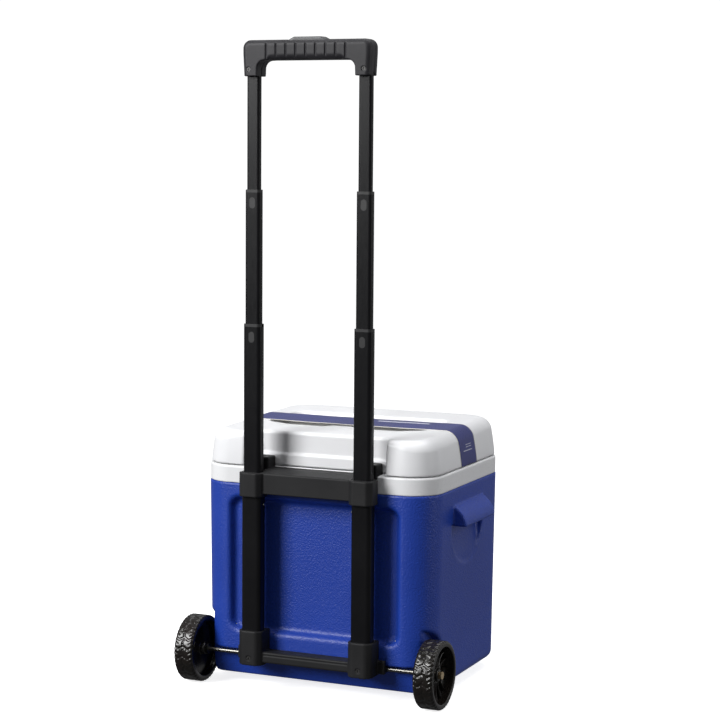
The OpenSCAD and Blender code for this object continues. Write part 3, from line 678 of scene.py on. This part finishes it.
def build_band(material, back_material):
    """Thin card laid over the lid: up one side, over the top with a slight sag, and down the other side."""
    columns = np.linspace(-BAND_HALF, BAND_HALF, 15)
    x, z = band_path(columns)
    share = np.linspace(-1, 1, 61)[1:-1, None]
    middle = z[-1] - CARD_SAG * (1 - share ** 2) + CARD_WAVE * np.sin(share * 11 + columns * 0.07)
    line_x = np.concatenate([-x, CARD_TURN_X * share + 0 * columns, x[::-1]])
    line_z = np.concatenate([z, middle, z[::-1]])
    n = len(columns)
    points = [(a, BAND_Y + c, b)
              for row_x, row_z in zip(line_x, line_z)
              for a, c, b in zip(row_x, columns, row_z)]
    faces = [(i * n + j, i * n + j + 1, (i + 1) * n + j + 1, (i + 1) * n + j)
             for i in range(len(line_x) - 1) for j in range(n - 1)]
    piece = mesh_object("label_band_card", points, faces)
    solid = piece.modifiers.new("thickness", "SOLIDIFY")
    solid.thickness = CARD_T * MM
    solid.offset = 1.0
    solid.material_offset = 1
    place(piece, "lid", "band_card", back_material, "label_band")
    piece.data.materials.append(material)


# ---------------------------------------------------------------- handle brackets
WALL_GAP, SINK_R, BAR_FACE, BORE = 0.3, 3.3, 8.0, 3.05
TUBE_HOLE = (16.1, 10.6, 7.0)
COLLAR_HALF_X, COLLAR_HALF_Y, COLLAR_CUT, COLLAR_Z, COLLAR_HALF_Z = 19.0, 17.0, 28.5, 311.0, 18.0
BAR_HALF, BAR_LOW, BAR_NEAR_TOP, PLATE_LOW, PLATE_TOP = 76.0, 298.0, 329.0, 327.0, 332.0
PLATE_HALF, PLATE_DEEP = 101.0, 24.5
LUG_X, LUG_HALF_X, LUG_HALF_Y, LUG_TOP, LUG_SCREW = 86.5, 14.5, 12.4, 349.0, 15.0
HOLLOW_HALF, HOLLOW_Y, HOLLOW_HALF_Y, HOLLOW_TOP = 69.0, 12.5, 9.0, 325.0
SOCKET_HALF_X, SOCKET_HALF_Y, SOCKET_CUT, SOCKET_Z, SOCKET_HALF_Z = 19.5, 24.5, 28.0, 67.25, 25.75
SOCKET_FLOOR, SOCKET_SCREW_Z = 45.0, 52.5
CROSS_HALF, CROSS_LOW, CROSS_TOP, GROOVE_Z, GROOVE_R = 72.0, 46.0, 62.0, 57.5, 0.9
BOSS_IN, BOSS_OUT, BOSS_Z, BOSS_HALF_Y, BOSS_HALF_Z = 100.0, 119.0, 54.0, 3.1, 10.0
TONGUE_IN, TONGUE_HALF_Y, TONGUE_HALF_Z = 106.0, 6.5, 4.4


def upper_bracket_field(x, y, z):
    """Upper bracket: collars, bar between them, plate over the rim and two lugs at the lid's dock."""
    ax = np.abs(x)
    side, deep, behind = ax - LEG_X, y - TUBE_Y, y - REAR
    collar = rect(side, deep, COLLAR_HALF_X, COLLAR_HALF_Y, 1.5)
    collar = round_max(collar, (np.abs(side) + np.abs(deep) - COLLAR_CUT) / math.sqrt(2), 1.5)
    collar = round_max(collar, np.abs(z - COLLAR_Z) - COLLAR_HALF_Z, 1.8)
    rise = PLATE_TOP - BAR_NEAR_TOP
    top = np.where(behind < 0, BAR_NEAR_TOP + rise * np.clip((deep + 6) / 23, 0, 1), PLATE_TOP)
    bar = np.maximum(np.maximum(-BAR_FACE - deep, behind + WALL_GAP), BAR_LOW - z)
    bar = round_max(bar, (z - top), 2.5)
    bar = np.maximum(bar, ax - BAR_HALF)
    plate = np.maximum(z - PLATE_TOP, PLATE_LOW - z)
    plate = np.maximum(plate, np.maximum(behind - PLATE_DEEP, -WALL_GAP - behind))
    plate = round_max(plate, ax - PLATE_HALF, 1.5)
    lug = round_max(np.abs(ax - LUG_X) - LUG_HALF_X, np.abs(behind - LUG_HALF_Y + WALL_GAP) - LUG_HALF_Y, 2.0)
    lug = round_max(lug, z - LUG_TOP, 2.5)
    lug = np.maximum(lug, PLATE_LOW + 0.2 - z)
    body = round_min(round_min(collar, bar, 1.5), np.minimum(plate, lug), 1.5)
    hole = rect(side, deep, *TUBE_HOLE)
    sink = np.maximum(np.hypot(side, behind - LUG_SCREW) - SINK_R, LUG_TOP - 4 - z)
    hollow = np.maximum(np.maximum(ax - HOLLOW_HALF, np.abs(behind + HOLLOW_Y) - HOLLOW_HALF_Y), z - HOLLOW_TOP)
    return np.maximum(round_max(np.maximum(body, -hollow), -hole, 0.8), -sink)


def lower_bracket_field(x, y, z):
    """Lower bracket: sockets, grooved bar between them, and bosses with tongues for the axle rod."""
    ax = np.abs(x)
    side, deep, behind = ax - LEG_X, y - TUBE_Y, y - REAR
    socket = rect(side, deep - 8, SOCKET_HALF_X, SOCKET_HALF_Y, 1.5)
    socket = round_max(socket, (np.abs(side) - deep - SOCKET_CUT) / math.sqrt(2), 2.5)
    socket = round_max(socket, behind + WALL_GAP, 1.2)
    socket = round_max(socket, np.abs(z - SOCKET_Z) - SOCKET_HALF_Z, 1.6)
    bar = round_max(-BAR_FACE - deep, z - CROSS_TOP, 3.0)
    bar = round_max(bar, CROSS_LOW - z, 2.0)
    bar = np.maximum(np.maximum(bar, behind + WALL_GAP), ax - CROSS_HALF)
    groove = np.hypot(deep + BAR_FACE, z - GROOVE_Z) - GROOVE_R
    bar = np.maximum(bar, -groove)
    boss = rect(behind + BOSS_HALF_Y + WALL_GAP, z - BOSS_Z, BOSS_HALF_Y, BOSS_HALF_Z, 2.0)
    boss = round_max(boss, ax - BOSS_OUT, 1.8)
    boss = np.maximum(boss, BOSS_IN - ax)
    tongue = np.maximum(rect(behind - 3, z - AXLE_Z, TONGUE_HALF_Y, TONGUE_HALF_Z, 1.5),
                        np.maximum(ax - BOSS_OUT, TONGUE_IN - ax))
    body = round_min(round_min(socket, bar, 1.5), boss, 2.0)
    hole = np.maximum(rect(side, deep, *TUBE_HOLE), SOCKET_FLOOR - z)
    sink = np.maximum(np.hypot(side, z - SOCKET_SCREW_Z) - SINK_R, deep + 13)
    bore = np.hypot(y - AXLE_Y, z - AXLE_Z) - BORE
    body = round_max(np.minimum(body, tongue), -hole, 1.0)
    return np.maximum(np.maximum(body, -sink), -bore)


def build_brackets(material):
    """Both brackets, on grid lines that are close from the sockets outwards."""
    xs = mirrored_axis((0, 64, 4.0), (64, 112, 1.1))
    ys = axis((TUBE_Y - 19, REAR + 27, 1.1))
    upper = moulded("upper_bracket_moulding", upper_bracket_field, xs, ys, axis((290, 352, 1.1)))
    place(upper, "cooler", "bracket_black", material, "upper_bracket")
    xs = mirrored_axis((0, 64, 4.0), (64, 129, 1.1))
    ys = axis((TUBE_Y - 19, REAR + 13, 1.1))
    lower = moulded("lower_bracket_moulding", lower_bracket_field, xs, ys, axis((39, 96, 1.1)))
    place(lower, "cooler", "bracket_black", material, "lower_bracket")


# ---------------------------------------------------------------- grip and button
GRIP_HALF, GRIP_DEEP, GRIP_CORNER, GRIP_ROUND, GRIP_TAPER = 101.0, 16.0, 12.0, 8.0, 1.8
HAND_HALF, HAND_R, HAND_TALL, HAND_UNDER, LEG_TALL = 75.5, 11.0, 80.0, 29.0, 32.0
FLUTES, FLUTE_STEP, FLUTE_R = 9, 15.5, 1.5
LEG_HOLE, LEG_HOLE_TOP = (10.7, 5.2, 4.2), 26.0
WELL_DEEP, WELL_GAP, HALVES_GAP = 16.5, 0.6, 0.12
GRIP_SCREW_X, GRIP_SCREW_DOWN = 90.0, 42.0
BUTTON_BASE, BUTTON_FLAT, BUTTON_DEEP, BUTTON_FOOT = 30.0, 21.0, 10.5, 10.7


def grip_solid(x, y, z):
    """Both halves of the grip as one: legs, bar with flutes, hand opening and the button's well."""
    ax, deep = np.abs(x), np.abs(y - TUBE_Y)
    taper = GRIP_TAPER * np.clip((GRIP_LOW + LEG_TALL - z) / LEG_TALL, 0, 1)
    middle = (GRIP_TOP + GRIP_LOW - 20) / 2
    outline = rect(x, z - middle, GRIP_HALF - taper, GRIP_TOP - middle, GRIP_CORNER)
    body = round_max(outline, deep - GRIP_DEEP, GRIP_ROUND)
    hand_z = GRIP_TOP - HAND_UNDER - HAND_TALL / 2
    hand = rect(x, z - hand_z, HAND_HALF + taper * 0.8, HAND_TALL / 2, HAND_R)
    roll = 1.8 + 7.5 * ease((66 - ax) / 12)
    body = round_max(body, -hand, roll)
    body = round_max(body, GRIP_LOW - z, 1.2)
    k = np.clip(np.round(x / FLUTE_STEP), -(FLUTES // 2), FLUTES // 2)
    flute = np.hypot(x - k * FLUTE_STEP, (deep - GRIP_DEEP - 0.1)) - FLUTE_R
    flute = round_max(flute, z - GRIP_TOP + 4, 1.5)
    body = round_max(body, -flute, 0.5)
    leg = np.maximum(rect(ax - LEG_X, y - TUBE_Y, *LEG_HOLE), z - GRIP_TOP + LEG_HOLE_TOP)
    body = np.maximum(body, -leg)
    well = rect(x, y - TUBE_Y, BUTTON_BASE + WELL_GAP, BUTTON_DEEP + WELL_GAP, 2.5)
    well = np.maximum(well, GRIP_TOP - WELL_DEEP - z)
    body = round_max(body, -well, 0.6)
    screw = np.hypot(ax - GRIP_SCREW_X, z - GRIP_TOP + GRIP_SCREW_DOWN) - SINK_R
    screw = np.maximum(screw, y - (TUBE_Y - GRIP_DEEP + 4))
    return round_max(body, -screw, 0.5)


def build_grip(material, cap_material):
    """Two halves that meet in a fine groove along the middle, and the button between them."""
    xs = mirrored_axis((0, 66, 0.8), (66, 105, 1.1))
    zs = axis((GRIP_LOW - 2, GRIP_TOP + 2, 1.1))
    halves = ("grip_outer_half", -1, "grip_outer_shell"), ("grip_inner_half", 1, "grip_inner_shell")
    for name, face, node in halves:
        def half(x, y, z, face=face):
            return round_max(grip_solid(x, y, z), HALVES_GAP - face * (y - TUBE_Y), 0.6)
        span = (TUBE_Y - 18, TUBE_Y + 1.2) if face < 0 else (TUBE_Y - 1.2, TUBE_Y + 18)
        piece = moulded(name, half, xs, axis((*span, 1.1)), zs)
        place(piece, "stage3", "grip_black", material, node)

    def button(x, y, z):
        ramp_z = BUTTON_TOP - 4.5 * np.clip((np.abs(x) - BUTTON_FLAT) / (BUTTON_BASE - BUTTON_FLAT), 0, 1.2)
        dish = 0.7 * (1 - ease(np.abs(x) / 17)) * (1 - ease(np.abs(y - TUBE_Y) / 9))
        form = rect(x, y - TUBE_Y, BUTTON_BASE, BUTTON_DEEP, 2.0)
        form = round_max(form, z - ramp_z + dish, 2.2)
        return np.maximum(form, GRIP_TOP - BUTTON_FOOT - z)

    xs = mirrored_axis((0, 32, 0.9))
    ys = axis((TUBE_Y - 12, TUBE_Y + 12, 0.9))
    zs = axis((GRIP_TOP - 12, BUTTON_TOP + 2, 0.9))
    piece = moulded("release_button_cap", button, xs, ys, zs)
    place(piece, "button", "button_black", cap_material, "release_button")


# ---------------------------------------------------------------- wheels
WHEEL_R, WHEEL_W, SHOULDER = 50.0, 30.5, 4.0
RIM_IN, HUB_R, HUB_LEN, WEB_LOW, WEB_HIGH = 41.5, 9.0, 23.0, 9.0, 13.0
SPOKES, TREAD_BLOCKS = 16, 22


def tread(turn, along):
    """Depth of the tread's grooves at an angle and a place across the wheel."""
    share = along / WHEEL_W
    zigzag = 0.32 * np.abs(((share * 2.0) % 1.0) - 0.5) * 2
    phase = (turn / (2 * math.pi) * TREAD_BLOCKS + zigzag) % 1.0
    cross = ease((0.17 - np.abs(phase - 0.5)) / 0.09)
    row = (turn / (2 * math.pi) * TREAD_BLOCKS + 0.16 + zigzag) % 1.0
    ring = ease((1.3 - np.abs(along - WHEEL_W / 2 - 1.6 * np.sin(row * 2 * math.pi))) / 0.8)
    between = ease((0.12 - np.abs(((phase + 0.5) % 1.0) - 0.5)) / 0.06)
    shoulder_cut = between * ease((np.abs(share - 0.5) - 0.26) / 0.05)
    return np.maximum(np.maximum(cross, 0.9 * ring), 0.8 * shoulder_cut)


def lathe(profile, segments, radius_of=None):
    """Points and quads of a closed profile of (radius, height) turned round the Z axis."""
    turns = np.arange(segments) / segments * 2 * math.pi
    points, faces = [], []
    for r, h in profile:
        radii = np.full(segments, r) if radius_of is None else radius_of(r, h, turns)
        points.append(np.stack([radii * np.cos(turns), radii * np.sin(turns), np.full(segments, h)], 1))
    n = len(profile)
    for i in range(n):
        j = (i + 1) % n
        for k in range(segments):
            m = (k + 1) % segments
            faces.append((i * segments + k, i * segments + m, j * segments + m, j * segments + k))
    return np.concatenate(points), np.array(faces)


def spoke(angle):
    """Thin fin from the hub to the rim, bent a little to one side."""
    points, faces = [], []
    steps = 7
    for i in range(steps):
        share = i / (steps - 1)
        r = HUB_R - 1.0 + share * (RIM_IN - HUB_R + 2.0)
        bend = angle + 0.10 * math.sin(share * math.pi)
        half = (1.0 + 0.35 * share) / r
        top = HUB_LEN - 2.0 - 3.2 * math.sin(share * math.pi)
        root = WEB_HIGH - 0.5
        for side, height in ((-half, root), (half, root), (half * 0.6, top), (-half * 0.6, top)):
            points.append((r * math.cos(bend + side), r * math.sin(bend + side), height))
    for i in range(steps - 1):
        for k in range(4):
            m = (k + 1) % 4
            faces.append((i * 4 + k, i * 4 + m, (i + 1) * 4 + m, (i + 1) * 4 + k))
    last = (steps - 1) * 4
    faces.append((3, 2, 1, 0))
    faces.append((last, last + 1, last + 2, last + 3))
    return points, faces


def arc(centre_r, centre_h, radius, start, stop, steps):
    """Points of an arc in the profile plane, angles in degrees."""
    angles = np.radians(np.linspace(start, stop, steps))
    return [(centre_r + radius * math.cos(a), centre_h + radius * math.sin(a)) for a in angles]


def build_wheel(name, side, body, node, material):
    """One-piece wheel on side -1 or 1: turned hub, web and rim, with tread and fins."""
    profile = [(BORE, 0.6), (BORE + 0.6, 0.0), (HUB_R - 0.8, 0.0), (HUB_R, 0.8), (HUB_R, WEB_LOW - 1)]
    profile += arc(HUB_R + 1.5, WEB_LOW - 1.5, 1.5, 180, 90, 4)
    profile += arc(RIM_IN - 3, WEB_LOW - 2, 2, 90, 0, 4)
    profile += [(RIM_IN - 1, 0.8), (RIM_IN - 0.2, 0.0), (WHEEL_R - SHOULDER - 0.5, 0.0)]
    profile += arc(WHEEL_R - SHOULDER, SHOULDER, SHOULDER, -90, 0, 7)
    profile += [(WHEEL_R, h) for h in np.linspace(SHOULDER + 1.1, WHEEL_W - SHOULDER - 1.1, 18)]
    profile += arc(WHEEL_R - SHOULDER, WHEEL_W - SHOULDER, SHOULDER, 0, 90, 7)
    profile += [(WHEEL_R - SHOULDER - 0.5, WHEEL_W)]
    profile += arc(RIM_IN + 1.6, WHEEL_W - 1.6, 1.6, 90, 180, 5)
    profile += [(RIM_IN, WHEEL_W - 6), (RIM_IN - 0.5, WEB_HIGH + 3)]
    profile += arc(RIM_IN - 3, WEB_HIGH + 2, 2, 0, -90, 4)
    profile += arc(HUB_R + 4.5, WEB_HIGH + 1.5, 1.5, 270, 180, 4)
    profile += [(HUB_R + 2.8, HUB_LEN - 3.8), (HUB_R + 2.2, HUB_LEN - 3.0), (HUB_R + 0.8, HUB_LEN - 3.0)]
    profile += [(HUB_R + 0.2, HUB_LEN - 3.8), (HUB_R, HUB_LEN - 3.2), (HUB_R, HUB_LEN - 0.8)]
    profile += [(HUB_R - 0.8, HUB_LEN), (BORE + 0.6, HUB_LEN), (BORE, HUB_LEN - 0.6)]

    def radius_of(r, h, turns):
        weight = ease((r - WHEEL_R + SHOULDER + 0.2) / 3.0)
        return r - weight * tread(turns, np.full(len(turns), h))

    points, faces = lathe(profile, 440, radius_of)
    faces = faces[:, ::-1] if side > 0 else faces
    points, faces = list(map(tuple, points)), [tuple(f) for f in faces]
    for k in range(SPOKES):
        more, quads = spoke(k / SPOKES * 2 * math.pi)
        start = len(points)
        points += more
        faces += [tuple(start + i for i in q) for q in quads]
    placed = [(side * (TRACK_IN + h), AXLE_Y + a, AXLE_Z + b) for a, b, h in points]
    piece = mesh_object(name, placed, faces)
    fix = bmesh.new()
    fix.from_mesh(piece.data)
    bmesh.ops.recalc_face_normals(fix, faces=fix.faces)
    fix.to_mesh(piece.data)
    fix.free()
    place(piece, body, "wheel_black", material, node)


# ---------------------------------------------------------------- everything together
liner = liner_white()
wheel = wheel_black()
build_shell(shell_blue())
build_liner(liner)
build_lid(lid_white())
build_band(band_card(), card_back())
build_brackets(bracket_black())
build_grip(grip_black(), button_black())
build_wheel("wheel_left_moulding", -1, "wheel_left", "wheel_left", wheel)
build_wheel("wheel_right_moulding", 1, "wheel_right", "wheel_right", wheel)

# CAD nodes that are shown as they are, with a better material
SHOWN_AS_THEY_ARE = [
    (liner, ["lid_liner"]),
    (foam_cream(), ["foam_core", "lid_foam"]),
    (tube_black(), ["outer_tube_left", "outer_tube_right", "stage1_tube_left", "stage1_tube_right",
                    "stage2_tube_left", "stage2_tube_right", "stage3_tube_left", "stage3_tube_right"]),
    (bush_black(), ["outer_bush_left", "outer_bush_right", "stage1_bush_left", "stage1_bush_right",
                    "stage2_bush_left", "stage2_bush_right", "stage1_plug_left", "stage1_plug_right",
                    "stage2_plug_left", "stage2_plug_right", "stage3_plug_left", "stage3_plug_right"]),
    (zinc_steel(), ["upper_screws", "outer_lock_pins", "axle_rod", "axle_washers",
                    "stage2_lock_pins", "button_springs", "release_rod_left", "release_rod_right"]),
    (screw_black(), ["lower_screws", "grip_screws"]),
    (cap_brass(), ["hub_cap_left", "hub_cap_right"]),
    (foot_rubber(), ["front_foot_left", "front_foot_right"]),
    (link_white(), ["release_link"]),
]
for material, names in SHOWN_AS_THEY_ARE:
    for name in names:
        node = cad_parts[name]
        node.data.materials.clear()
        node.data.materials.append(material)


# ---------------------------------------------------------------- floor, light and camera
def build_floor():
    """Wide pale floor that takes the object's shadow and throws no light back on it."""
    mesh = bpy.data.meshes.new("studio_floor")
    far = 30.0
    mesh.from_pydata([(-far, -far, 0), (far, -far, 0), (far, far, 0), (-far, far, 0)], [], [(0, 1, 2, 3)])
    floor = bpy.data.objects.new("studio_floor", mesh)
    scene.collection.objects.link(floor)
    material, tree, base = shader("studio_floor")
    cloud = texture(tree, "ShaderNodeTexNoise", 3.0, 2.0)
    tint = ramp(tree, cloud.outputs["Fac"], *MID_NOISE, 0.0, 1.0)
    tree.links.new(mixed(tree, tint, (0.79, 0.79, 0.79), (0.81, 0.81, 0.81)), base.inputs["Base Color"])
    base.inputs["Roughness"].default_value = 0.9
    base.inputs["Emission Color"].default_value = (1, 1, 1, 1)
    base.inputs["Emission Strength"].default_value = 0.8
    mesh.materials.append(material)
    floor.visible_diffuse = False
    floor.visible_glossy = False


def area_light(name, spot, target, width, height, watts):
    """Soft white light at a spot, facing a target."""
    light = bpy.data.lights.new(name, "AREA")
    light.shape = "RECTANGLE"
    light.size, light.size_y = width, height
    light.energy = watts
    lamp = bpy.data.objects.new(name, light)
    lamp.location = spot
    lamp.rotation_mode = "QUATERNION"
    lamp.rotation_quaternion = (Vector(target) - Vector(spot)).to_track_quat("-Z", "Y")
    scene.collection.objects.link(lamp)


def build_world():
    """White for the eye. As a light, paler in front of the box and dimmer on the handle's side."""
    world = bpy.data.worlds.new("studio")
    world.use_nodes = True
    tree = world.node_tree
    tree.nodes.clear()
    out = tree.nodes.new("ShaderNodeOutputWorld")
    seen = tree.nodes.new("ShaderNodeBackground")
    seen.inputs["Color"].default_value = (1, 1, 1, 1)
    seen.inputs["Strength"].default_value = 1.05
    where = tree.nodes.new("ShaderNodeTexCoord")
    split = tree.nodes.new("ShaderNodeSeparateXYZ")
    tree.links.new(where.outputs["Generated"], split.inputs["Vector"])
    sweep = ramp(tree, split.outputs["Y"], -0.3, 1.0, 0.2, 0.42)
    above = ramp(tree, split.outputs["Z"], -0.3, 0.1, 0.45, 1.0)
    strength = tree.nodes.new("ShaderNodeMath")
    strength.operation = "MULTIPLY"
    tree.links.new(sweep, strength.inputs[0])
    tree.links.new(above, strength.inputs[1])
    lit = tree.nodes.new("ShaderNodeBackground")
    lit.inputs["Color"].default_value = (0.97, 0.98, 1, 1)
    tree.links.new(strength.outputs["Value"], lit.inputs["Strength"])
    path = tree.nodes.new("ShaderNodeLightPath")
    mix = tree.nodes.new("ShaderNodeMixShader")
    tree.links.new(path.outputs["Is Camera Ray"], mix.inputs["Fac"])
    tree.links.new(lit.outputs["Background"], mix.inputs[1])
    tree.links.new(seen.outputs["Background"], mix.inputs[2])
    tree.links.new(mix.outputs["Shader"], out.inputs["Surface"])
    scene.world = world


# Azimuth, pitch down and roll in degrees, place in metres, lens and sensor in millimetres
VIEW_ANGLES = (23.632, 5.944, -0.434)
CAMERA_AT = (1.2588, -2.8387, 0.8079)
LENS, SENSOR = 103.4, 36.0


def build_camera():
    """Camera at the fitted viewing angle, looking slightly down at the handle's side."""
    azimuth, pitch, roll = (math.radians(angle) for angle in VIEW_ANGLES)
    forward = math.cos(pitch)
    ahead = Vector((-math.sin(azimuth) * forward, math.cos(azimuth) * forward, -math.sin(pitch)))
    level = Vector((math.cos(azimuth), math.sin(azimuth), 0))
    above = level.cross(ahead)
    right = math.cos(roll) * level - math.sin(roll) * above
    up = math.sin(roll) * level + math.cos(roll) * above
    data = bpy.data.cameras.new("camera")
    data.lens, data.sensor_width = LENS, SENSOR
    data.clip_start, data.clip_end = 0.05, 100.0
    camera = bpy.data.objects.new("camera", data)
    turn = Matrix((right, up, -ahead)).transposed()
    camera.matrix_world = Matrix.Translation(CAMERA_AT) @ turn.to_4x4()
    scene.collection.objects.link(camera)
    scene.camera = camera


build_floor()
build_world()
build_camera()
area_light("key", (-1.9, -2.9, 2.1), (0, 0, 0.35), 1.6, 2.2, 162)
area_light("top", (0.2, 0.3, 3.2), (0, 0, 0.2), 2.6, 2.6, 54)
area_light("side", (3.0, 0.4, 1.2), (0, 0, 0.3), 1.2, 2.0, 17)
scene.view_settings.view_transform = "Standard"
